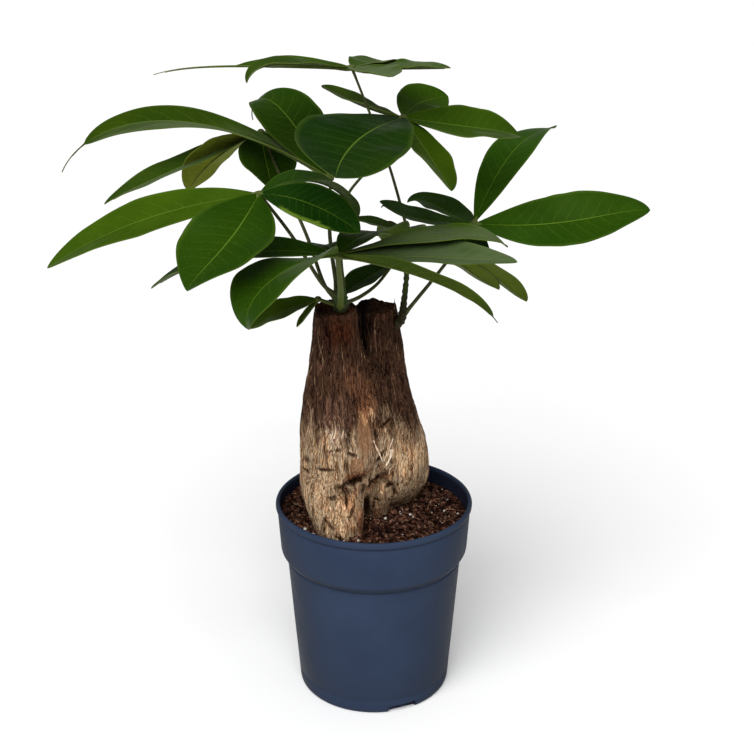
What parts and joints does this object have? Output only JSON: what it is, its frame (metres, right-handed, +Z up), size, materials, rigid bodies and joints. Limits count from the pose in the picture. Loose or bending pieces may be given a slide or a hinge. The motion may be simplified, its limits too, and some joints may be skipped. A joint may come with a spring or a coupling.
{
  "type": "potted money tree",
  "caption": "Pachira in a plastic nursery pot: thick trunk of two cut stems grown together, young shoots, palm-shaped leaves.",
  "frame": {"origin": "on the pot's axis, on the surface that the pot stands on", "axes": "+Z up along the pot's axis, +X to the right and -Y to the front, as the picture shows the plant"},
  "size_m": [0.3444, 0.2254, 0.3908],
  "materials": {
    "pot_plastic": "satin",
    "soil": "matte",
    "bark": "matte",
    "young_bark": "satin",
    "leaf": "satin"
  },
  "bodies": {
    "root": {"pot": "pot_plastic", "soil": "soil", "trunk": "bark", "shoot_left": "young_bark", "shoot_right": "young_bark", "leaf_top": "leaf", "leaf_high_right": "leaf", "leaf_high_left": "leaf", "leaf_front_left": "leaf", "leaf_right": "leaf", "leaf_front": "leaf", "leaf_back_left": "leaf", "leaf_low_right": "leaf", "leaf_inner": "leaf", "leaf_low_left": "leaf"}
  },
  "joints": []
}
